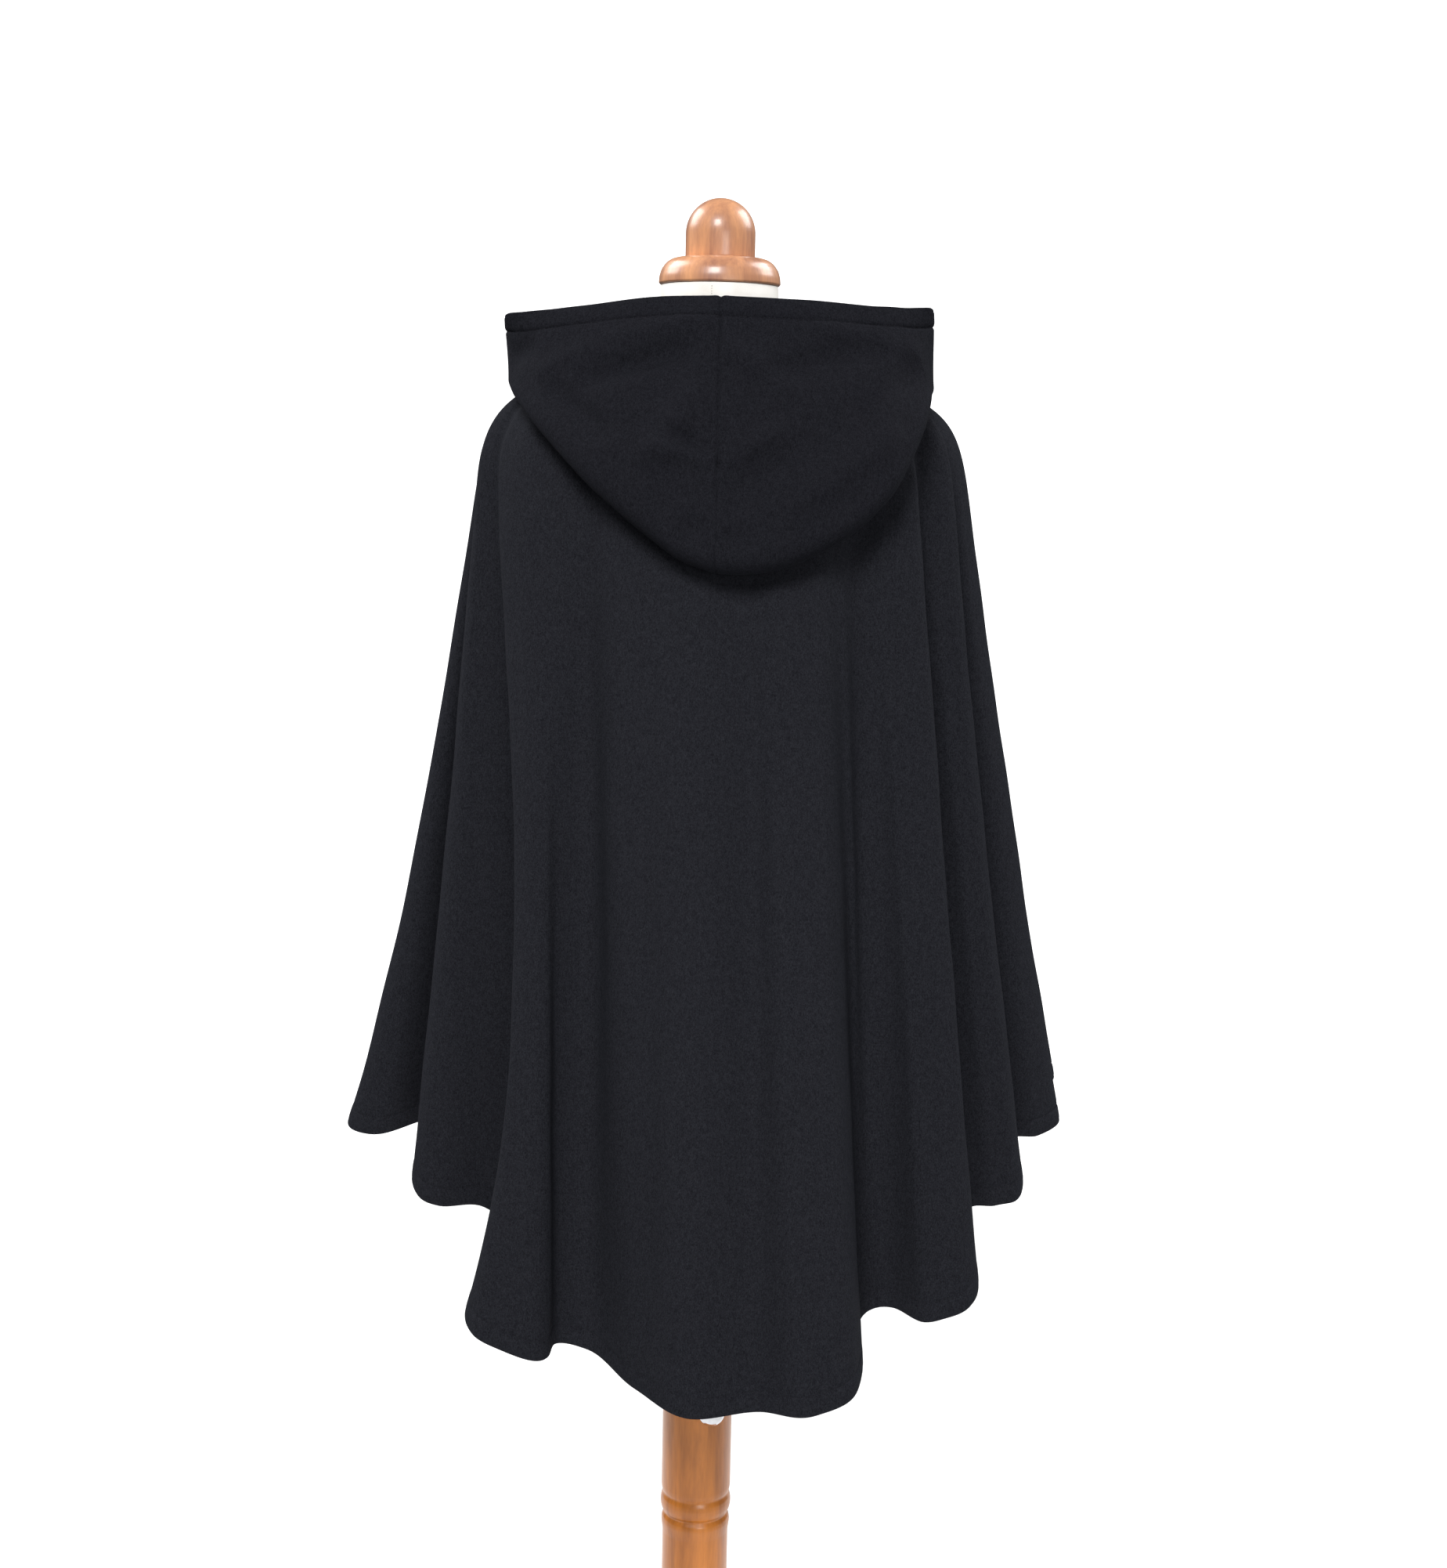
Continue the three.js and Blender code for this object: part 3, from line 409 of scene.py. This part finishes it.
def fall(angle, down):
    """Points of the cape's outer face and how far each lies out over another panel: over the
    shoulder down to the ring at 1, then nearly straight to the hem at 2, with a late flare and a
    sideways bow. The hem's height follows its place, low behind and high in front."""
    angle, down = np.broadcast_arrays(np.asarray(angle, float), np.asarray(down, float))
    hem_x, hem_y, lift, bow_x, bow_y, over = np.moveaxis(through(FOLDS[:, 0], FOLDS[:, 1:], angle), -1, 0)
    c = -hem_y / np.hypot(hem_x, hem_y)
    side_z, back_drop, front_rise = 680, 160, 72
    hem_z = np.where(c > 0, side_z - back_drop * c, side_z - front_rise * c)
    ring = shoulder_ring(angle, lift)
    lean = np.stack([hem_x - ring[..., 0], hem_y - ring[..., 1], np.zeros_like(c)], -1)
    lean = lean * 0.88 / (RING_Z - hem_z)[..., None]
    upper = over_shoulder(angle, ring, lean, np.clip(down, 0, 1))
    t = np.clip(down - 1, 0, 1)
    late = t**1.5
    bow = 4 * late * (1 - late)
    flare = 0.88 * t + 0.12 * t * t
    lower = np.stack([ring[..., 0] + (hem_x - ring[..., 0]) * flare + bow_x * bow,
                      ring[..., 1] + (hem_y - ring[..., 1]) * flare + bow_y * bow,
                      RING_Z + (hem_z - RING_Z) * t], -1)
    return np.where((down <= 1)[..., None], upper, lower), over


def felt(name, light, dark, nap):
    """Black wool, felted and brushed: small clumps of nap 2 to 4 mm wide and a speckle of single
    fibres under a millimetre, drawn out down the cloth, in tone and relief, with a weak sheen."""
    cloth, tree, surface = new_material(name, 0.92)
    lie = stretched(tree, (1, 1, 0.55))
    clumps = new_node(tree, "ShaderNodeTexNoise", {
        "Vector": lie, "Scale": 330, "Detail": 3, "Roughness": 0.6})["Fac"]
    fibres = new_node(tree, "ShaderNodeTexNoise", {
        "Vector": lie, "Scale": 1100, "Detail": 3, "Roughness": 0.75, "Distortion": 0.8})["Fac"]
    both = new_node(tree, "ShaderNodeMix", {"Factor": 0.8, "A": clumps, "B": fibres})["Result"]
    relief = new_node(tree, "ShaderNodeBump", {
        "Height": both, "Strength": 0.8, "Distance": 0.0009})["Normal"]
    feed(surface, {"Base Color": ramp(tree, both, dark, light, 0.38, 0.62), "Normal": relief,
                   "Specular IOR Level": 0.02, "Sheen Weight": nap, "Sheen Roughness": 0.5,
                   "Sheen Tint": (0.6, 0.64, 0.8, 1)})
    return cloth


wool = felt("black_felted_wool", (0.0205, 0.0215, 0.0264), (0.0072, 0.0075, 0.0097), 0.013)
# The hood shows darker in the photograph than the cape does, so its wool is a darker copy of the cape's:
# painted shade.
hood_wool_painted_shade = felt("black_felted_wool_painted_shade", (0.0155, 0.016, 0.0202), (0.0053, 0.0055, 0.0073), 0.012)
black_thread = felt("black_thread", (0.02, 0.02, 0.024), (0.01, 0.01, 0.012), 0.03)


def shell(name, face, out, thick):
    """Thin cloth wall on an outer face: the inner face lies one thickness inside, the upper and
    lower edges are rounded with half circles, and the two sides are closed."""
    inner = face - out * thick
    turn = np.linspace(0, np.pi, 6)[1:-1][:, None, None]
    rims = []
    for k, step in ((-1, face[-1] - face[-2]), (0, face[0] - face[1])):
        away = step - out[k] * (step * out[k]).sum(-1, keepdims=True)
        away = away / np.maximum(np.linalg.norm(away, axis=-1, keepdims=True), 1e-9)
        middle = face[k] - out[k] * thick / 2
        rims.append(middle + thick / 2 * (np.cos(turn) * out[k] + np.sin(turn) * away))
    around = np.concatenate([face, rims[0], inner[::-1], rims[1][::-1]])
    piece = skin(name, around, rows_close=True, sharp=180)
    body = bmesh.new()
    body.from_mesh(piece.data)
    bmesh.ops.holes_fill(body, edges=[e for e in body.edges if e.is_boundary], sides=0)
    bmesh.ops.triangulate(body, faces=[f for f in body.faces if len(f.verts) > 4])
    bmesh.ops.recalc_face_normals(body, faces=body.faces)
    body.to_mesh(piece.data)
    body.free()
    piece.data.shade_smooth()
    piece.data.set_sharp_from_angle(angle=np.radians(60))
    return piece


def crease(face, out, start, end, half, depth):
    """How far a crease pulls each point in along the cloth's outward direction: a bell across
    the line from start to end, fading to nothing at both its ends."""
    line = end - start
    along = ((face - start) @ line) / (line @ line)
    near = start + np.clip(along, 0, 1)[..., None] * line
    away = np.linalg.norm(face - near, axis=-1)
    fade = np.sin(np.pi * np.clip(along, 0, 1)) ** 0.7
    return -depth * fade * np.exp(-((away / half) ** 2))


def cape_panel(name, node, first, last, columns, creases):
    """One panel from fold line first to last. Columns are spaced two parts along the hem and one
    part by the fold lines. Rows lie closer at the turned hem, whose stitch line is a groove 16 mm
    above the edge. The sides are square to the cloth and low, so neighbours meet in a seam line."""
    fine = np.linspace(first, last, 1500)
    hem, _ = fall(fine, 2.0)
    run = np.concatenate([[0], np.cumsum(np.linalg.norm(np.diff(hem, axis=0), axis=1))])
    run = run / run[-1] + np.linspace(0, 0.5, len(fine))
    angle = np.interp(np.linspace(0, run[-1], columns), run, fine)
    long = np.linalg.norm(fall(angle, 2.0)[0] - fall(angle, 1.0)[0], axis=-1)
    hem_rows = np.array([24, 20, 18, 17, 16.4, 16, 15.6, 15, 14, 11, 7, 4, 2.4, 1.3, 0.6, 0.1])
    free = np.concatenate([np.linspace(0, 1, 34)[:-1], np.linspace(1, 2, 84)[:-1]])
    free_end = 28
    down = np.concatenate([free[:, None] / 2 * (2 - free_end / long), 2 - hem_rows[:, None] / long])
    down[0] = 0
    face, over = fall(angle, down)
    out = square_out(face)
    for k in (0, -1):
        at, low = angle[[k]], down[:, [k]]
        below = fall(at, low + 0.004)[0] - fall(at, np.maximum(low - 0.004, 0))[0]
        square = np.cross(fall(at + 0.05, low)[0] - fall(at - 0.05, low)[0], below)[:, 0]
        square = square * np.sign((square * out[:, k]).sum(-1, keepdims=True))
        out[:, k] = square / np.linalg.norm(square, axis=-1, keepdims=True)
    apart = np.maximum(2 - down, 0) * long
    hem_groove = 0.7 * np.exp(-((apart - HEM_TURN) / 1.5) ** 2)
    double_cloth = 0.35 * (apart < HEM_TURN) * (apart > 3)
    lower = np.clip((down - 0.25) / 0.5, 0, 1)
    x, z = face[..., 0], face[..., 2]
    waves = (0.55 * np.sin(x / 23 + z / 71) * np.sin(z / 57 - x / 90)
             + 0.35 * np.sin(x / 11 - z / 37 + 1.3) * np.sin(z / 29 + x / 41))
    step = over - hem_groove + double_cloth + lower * waves
    for a0, d0, a1, d1, half, depth in creases:
        ends, _ = fall(np.array([a0, a1]), np.array([d0, d1]))
        step = step + crease(face, out, ends[0], ends[1], half, depth)
    step[:, [0, -1]] -= SEAM_LOW
    face = face + out * step[..., None]
    panel = shell(name, face, out, CLOTH)
    panel.data.materials.append(wool)
    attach(panel, "form")
    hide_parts(node)
    at = int(np.argmin(np.abs(apart[:, 0] - HEM_TURN)))
    seam = stitches(name + "_hem_stitches", face[at], out[at], **STITCH)
    seam.data.materials.append(black_thread)
    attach(seam, "form")


cape_panel("cape_back_cloth", "cloak_back", -109, 100, 420, [
    # fold line, down, fold line, down, half width, depth inwards
    (-36.5, 0.6, -38, 2.2, 19, 12.0), (-44, 0.7, -45, 2.1, 9, -3.5), (32.5, 0.75, 34.5, 1.85, 8, -5.0),
    (-3, 0.85, -4, 2.3, 30, -5.0), (-17, 1.1, -20, 2.1, 14, 4.0), (8.5, 1.05, 6, 2.1, 13, 3.6),
    (13, 0.95, 13.5, 2.1, 14, -3.2), (-58, 0.8, -61, 1.9, 16, 3.0), (41, 0.9, 42, 2.0, 20, 6.0),
    (-83, 0.8, -82, 1.9, 12, -3.0), (64.5, 0.65, 65, 2.1, 13, 10.0), (-73.5, 0.6, -74, 2.0, 8, 9.0),
    (80.5, 0.75, 81, 2.0, 9, 6.0), (-91.5, 0.8, -91, 2.0, 8, 6.0), (55, 0.8, 56, 1.95, 12, -3.0),
    (47, 0.9, 47.5, 2.0, 8, 3.0), (58.5, 0.25, 59.5, 1.85, 14, 12.0)])
cape_panel("cape_left_cloth", "cloak_front_left", -193, -109, 170, [
    (-126, 0.9, -128, 2.0, 12, 3.2), (-146, 1.0, -143, 1.9, 14, -3.4), (-163, 0.85, -166, 2.0, 9, 2.6)])
cape_panel("cape_right_cloth", "cloak_front_right", 100, 192, 200, [
    (128, 0.9, 131, 2.0, 11, 3.5), (150, 1.1, 148, 2.0, 14, -3.0), (165, 0.8, 168, 1.9, 9, 2.2),
    (118, 0.8, 117, 1.7, 9, -2.2)])


# The hood. Two shaped halves of the same wool joined by a centre seam, sewn into the neckline and
# fallen open behind: an under layer on the shoulders, a round turn, and an outer layer up to the
# turned and stitched edge of the face opening.
HOOD_LEFT = np.array([
    # neck, down, roll, rimX, rimY, rimZ
    [0, 1.272, 19, 2, -100, 1472], [-7, 1.222, 19, -18, -99, 1471.5], [-14, 1.126, 19, -38, -98, 1471],
    [-21, 1.031, 18.5, -57, -96, 1470], [-28, 0.924, 18, -76, -93, 1468],
    [-35, 0.812, 17, -94, -89, 1465.5], [-42, 0.712, 16, -112, -85, 1463],
    [-49, 0.628, 15, -130, -80, 1461], [-56, 0.556, 14, -146, -75, 1459],
    [-63, 0.498, 13, -161, -70, 1457.5], [-70, 0.45, 12, -174, -65, 1456],
    [-82, 0.405, 10, -189, -56, 1454], [-96, 0.37, 9, -184, -34, 1450], [-112, 0.33, 8, -160, -8, 1441],
    [-128, 0.28, 7, -128, 18, 1431], [-144, 0.21, 6.5, -92, 40, 1421], [-158, 0.14, 6, -52, 58, 1412],
    [-166, 0.08, 5.5, -28, 66, 1406]])
HOOD_RIGHT = np.array([
    # neck, down, roll, rimX, rimY, rimZ
    [0, 1.272, 19, 2, -100, 1472], [7, 1.275, 19, 22, -99, 1471.5], [14, 1.252, 19, 42, -98, 1471],
    [21, 1.202, 18.5, 62, -96, 1470.5], [28, 1.138, 18, 82, -93, 1470], [35, 1.056, 17.5, 101, -89, 1469],
    [42, 0.944, 17, 118, -84, 1468], [49, 0.79, 15.5, 135, -80, 1467], [56, 0.652, 14.5, 151, -75, 1467],
    [63, 0.538, 13.5, 166, -69, 1466.5], [70, 0.464, 12, 178, -64, 1467], [82, 0.412, 10, 190, -55, 1466.5],
    [96, 0.37, 9, 185, -34, 1459], [112, 0.355, 8, 162, -8, 1448], [128, 0.3, 7, 130, 18, 1436],
    [144, 0.23, 6.5, 93, 40, 1425], [158, 0.15, 6, 53, 58, 1415], [166, 0.08, 5.5, 28, 66, 1409]])
HOOD_LEFT_DENTS = [
    # neck, share, neck, share, half width, depth inwards
    (-4, 1.10, 56, 0.36, 11, -9.0), (6, 0.92, 38, 0.50, 11, 11.0), (4, 0.78, 16, 0.2, 15, -9.0),
    (15, 0.46, -1, 0.44, 6, 4.0), (18, 0.30, -4, 0.40, 9, -6.0), (48, 0.34, 24, 0.26, 11, 7.0),
    (8, 0.02, -1, 0.06, 12, 5.0), (72, 0.5, 58, 0.95, 13, 5.0)]
HOOD_RIGHT_DENTS = [
    (-8, 0.16, 64, 0.54, 15, 13.0), (-1, 0.38, 17, 0.55, 9, -6.0), (6, 0.76, 48, 0.92, 13, 7.0),
    (26, 1.02, 66, 0.70, 10, -6.0), (8, 0.02, -1, 0.06, 12, 5.0), (12, 0.12, 48, 0.18, 13, -7.0),
    (-1, 0.94, 22, 0.66, 10, -5.0)]
SEAM_X = 2.0
RIM_TURN = 17.0


def cover(angle, down):
    """Smooth surface over the folded shoulders on which the hood lies: the ring lifted 5 mm
    behind, 14 mm at the left and 22 mm at the right, and below it a straight slope."""
    side = np.sin(np.radians(angle)) ** 2
    lift = 5 + (np.where(angle < 0, 14, 22) - 5) * side
    ring = shoulder_ring(angle, lift)
    lean = ring * [1, 1, 0]
    lean = lean / np.linalg.norm(lean, axis=-1, keepdims=True) * 0.15
    drop = np.maximum(down - 1, 0)[..., None] * 200
    return over_shoulder(angle, ring, lean, np.minimum(down, 1)) + lean * drop - [0, 0, 1] * drop


def hood_half(table, sign, columns, dents):
    """Outer face of half a hood, its outward directions and each point's way from the rim. Each
    column starts at the neckline, rests on the cover to the row's down, turns round a circle of
    the row's roll, and rises on a cubic curve to the rim. The centre seam is a pressed groove."""
    u = np.interp(np.linspace(0, 1, columns), [0, 0.08, 0.62, 1], [0, 3, 96, 166])
    row = through(np.abs(table[:, 0]), table, u)
    neck, down, roll, rim = row[:, 0], row[:, 1], row[:, 2], row[:, 3:6]
    over = through(FOLDS[:, 0], FOLDS[:, 1:], neck)[:, 5]
    under_rows, turn_rows, rise_rows = 40, 16, 65
    first_rise = under_rows + turn_rows
    share = np.linspace(0, 1, under_rows)[:, None]
    level, round_neck = share * down, np.broadcast_to(neck, (under_rows, columns))
    aside = cover(round_neck + 0.5, level) - cover(round_neck - 0.5, level)
    ahead = cover(round_neck, level + 0.005) - cover(round_neck, level - 0.005)
    ahead /= np.linalg.norm(ahead, axis=-1, keepdims=True)
    out = np.cross(ahead, aside)
    out /= np.linalg.norm(out, axis=-1, keepdims=True)
    under = cover(round_neck, level) + out * (over + np.minimum(0.3 + share * 7, 1.6))[..., None]
    heading, away = ahead[-1], out[-1]
    centre = under[-1] + away * roll[:, None]
    to_rim = rim - centre
    bearing = np.degrees(np.arctan2((to_rim * away).sum(-1), (to_rim * heading).sum(-1)))
    last = np.radians(np.minimum(np.where(bearing < 0, 180, bearing + 12), 180))
    turn = (np.linspace(0, 1, turn_rows + 1)[1:, None] * last)[..., None]
    around = centre - away * roll[:, None] * np.cos(turn) + heading * roll[:, None] * np.sin(turn)
    foot = around[-1]
    course = away * np.sin(last)[:, None] + heading * np.cos(last)[:, None]
    reach = np.linalg.norm(foot - rim, axis=-1)[:, None]
    second = foot + course * 0.3 * reach
    third = rim + (foot - rim) * 0.35 + away * 0.05 * reach
    rim_rows = np.array([24, 20, 18.4, 17.6, 17, 16.4, 15.6, 13, 9, 5, 3, 1.6, 0.8, 0.1])[:, None]
    even, free_end = np.linspace(0, 1, rise_rows + 1)[1:, None], 27
    t = np.concatenate([even * (1 - free_end / reach[:, 0]), 1 - rim_rows / reach[:, 0]])
    t = np.clip(t, 0, 1)[..., None]
    rise = (1 - t) ** 3 * foot + 3 * t * (1 - t) ** 2 * second + 3 * t * t * (1 - t) * third + t**3 * rim
    face = np.concatenate([under, around, rise])
    face[..., 0] += (SEAM_X + sign * 0.02 - face[:, :1, 0]) * np.exp(-((u / 8) ** 2))
    far = np.full((first_rise, columns), 900.0)
    apart = np.concatenate([far, (1 - t[..., 0]) * reach[:, 0]])
    out = -square_out(face) * sign
    gap = np.abs(face[..., 0] - SEAM_X)
    first_shown = under_rows + 4
    shown = np.repeat([0.0, 1.0], [first_shown, len(face) - first_shown])[:, None]
    seam_ridge = 0.35 * np.exp(-(((gap - 5) / 3) ** 2))
    seam_groove = 1.2 * np.exp(-((gap / 1.6) ** 2))
    rim_groove = 1.5 * np.exp(-(((apart - RIM_TURN) / 1.4) ** 2))
    double_cloth = 0.45 * (apart < RIM_TURN) * (apart > 2)
    step = shown * (seam_ridge - seam_groove) - rim_groove + double_cloth
    for neck0, share0, neck1, share1, half, depth in dents:
        ends = [face[first_rise + int(k * (rise_rows - 1)), int(np.argmin(np.abs(u - n)))]
                for n, k in ((neck0, share0), (neck1, share1))]
        step = step + shown * crease(face, out, ends[0], ends[1], half, depth)
    face = face + out * step[..., None]
    face[..., 2] -= 0.6 * np.exp(-((gap / 2.2) ** 2) - (apart / 5) ** 2)
    if sign < 0:
        face, out, apart = face[:, ::-1], out[:, ::-1], apart[:, ::-1]
    return face, out, apart


for name, node, table, sign, flat, area, dents in (
        ("hood_left_cloth", "hood_left", HOOD_LEFT, -1, (0.35, 0.4), 0.097, HOOD_LEFT_DENTS),
        ("hood_right_cloth", "hood_right", HOOD_RIGHT, 1, (0.35, 0.43), 0.113, HOOD_RIGHT_DENTS)):
    face, out, apart = hood_half(table, sign, 180, dents)
    half = shell(name, face, out, CLOTH)
    # The hood's halves take the darker copy of the wool: painted shade.
    half.data.materials.append(hood_wool_painted_shade)
    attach(half, "form")
    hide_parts(node)
    at = int(np.argmin(np.abs(apart[:, 90] - RIM_TURN)))
    rim_seam = stitches(name + "_rim_stitches", face[at], out[at], **STITCH)
    rim_seam.data.materials.append(black_thread)
    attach(rim_seam, "form")


# The button. Turned black horn, 22 mm across with a raised rim, sewn flat on the right front's
# overlap at centre front with two bars of doubled thread.
horn, _, _ = clouded("black_horn", 0.28, 0.0, {"Scale": 140, "Distortion": 1.5},
                     ((0.008, 0.007, 0.007), (0.035, 0.028, 0.024)))
button_spots, button_over = fall(180.0, np.array([0.34, 0.36]))
button_up = button_spots[0] - button_spots[1]
button_out = np.cross([1.0, 0, 0], button_up)
button_out *= np.sign(button_out[1]) / np.linalg.norm(button_out)
button_spot = button_spots[0] + button_out * (button_over[0] + 0.3)
button = turned("horn_button", [[0, 0], [9.6, 0], [11, 0.9], [11, 2.4], [10.1, 3.2], [8.6, 3.1], [7.4, 2.3],
                                [0, 2.1]], 0.7, 64, button_out, button_spot)
button.data.materials.append(horn)
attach(button, "form")
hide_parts("neck_button")
button_side = np.cross(button_out, button_up / np.linalg.norm(button_up))
for k, shift in enumerate((-1.7, 1.7)):
    middle = button_spot + button_out * 2.3 + button_side * shift
    way = button_up / np.linalg.norm(button_up) * 3.2
    bar = stitches("button_thread_%d" % k, np.stack([middle - way, middle + way]),
                   np.stack([button_out, button_out]), 5.4, 5.2, 0.7)
    bar.data.materials.append(black_thread)
    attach(bar, "form")


# The studio. A plain pale floor in white air, a soft light high at the left, a weak one low at
# the right, two that light the floor beside the stand, and the camera as in the photograph.
def place_at(thing, right, up, back, place):
    """Puts a light or the camera at a place, with its own axes along the three directions."""
    rows = [[right[k], up[k], back[k], place[k]] for k in range(3)]
    thing.matrix_world = Matrix(rows + [[0, 0, 0, 1]])


floor = skin("studio_floor", np.array([[[-1500.0, -1500, 0], [1500, -1500, 0]],
                                       [[-1500, 1700, 0], [1500, 1700, 0]]]))
floor_paint, _, floor_surface = new_material("studio_white", 0.8)
feed(floor_surface, {"Base Color": (0.92, 0.92, 0.92, 1)})
floor.data.materials.append(floor_paint)

world = bpy.data.worlds.new("studio_air")
bpy.context.scene.world = world
world.use_nodes = True
air = world.node_tree
air_light = air.nodes["Background"]
feed(air_light, {"Color": (1, 1, 1, 1), "Strength": 0.10})
air_seen = new_node(air, "ShaderNodeBackground", {"Color": (1, 1, 1, 1), "Strength": 1.6})
air_ray = new_node(air, "ShaderNodeLightPath", {})["Is Camera Ray"]
air_both = new_node(air, "ShaderNodeMixShader", {0: air_ray, 1: air_light.outputs[0], 2: air_seen[0]})
feed(air.nodes["World Output"], {"Surface": air_both[0]})
for name, place, aim, size, power in (
        ("soft_key", (-0.6, -3.1, 3.5), (0, 0, 0.85), 1.3, 19.5),
        ("soft_low", (1.0, -3.2, 1.2), (0, 0, 0.75), 1.2, 4.5),
        ("floor_left", (-1.9, 0.9, 2.7), (-0.6, 1.0, 0), 1.6, 60),
        ("floor_right", (1.9, 0.9, 2.7), (0.6, 1.0, 0), 1.6, 60)):
    lamp = bpy.data.lights.new(name, "AREA")
    lamp.size = size
    lamp.energy = power
    lamp.spread = np.radians(150 if name.startswith("floor") else 60)
    back = np.array(place) - np.array(aim)
    back = back / np.linalg.norm(back)
    right = np.cross([0, 0, 1.0], back)
    right = right / np.linalg.norm(right)
    place_at(linked(name, lamp), right, np.cross(back, right), back, place)

eye = bpy.data.cameras.new("photo_camera")
eye.lens = 49.33
eye.sensor_width = 36
eye.clip_end = 50
camera = linked("photo_camera", eye)
pitch, roll = np.radians(9), np.radians(1.2)
forward = np.array([0, np.cos(pitch), -np.sin(pitch)])
above = np.array([0, np.sin(pitch), np.cos(pitch)])
right = np.array([np.cos(roll), 0, 0]) + above * np.sin(roll)
upward = above * np.cos(roll) - np.array([np.sin(roll), 0, 0])
place_at(camera, right, upward, -forward, (0.013, -2.0, 1.346))
bpy.context.scene.camera = camera
bpy.context.scene.view_settings.view_transform = "Standard"
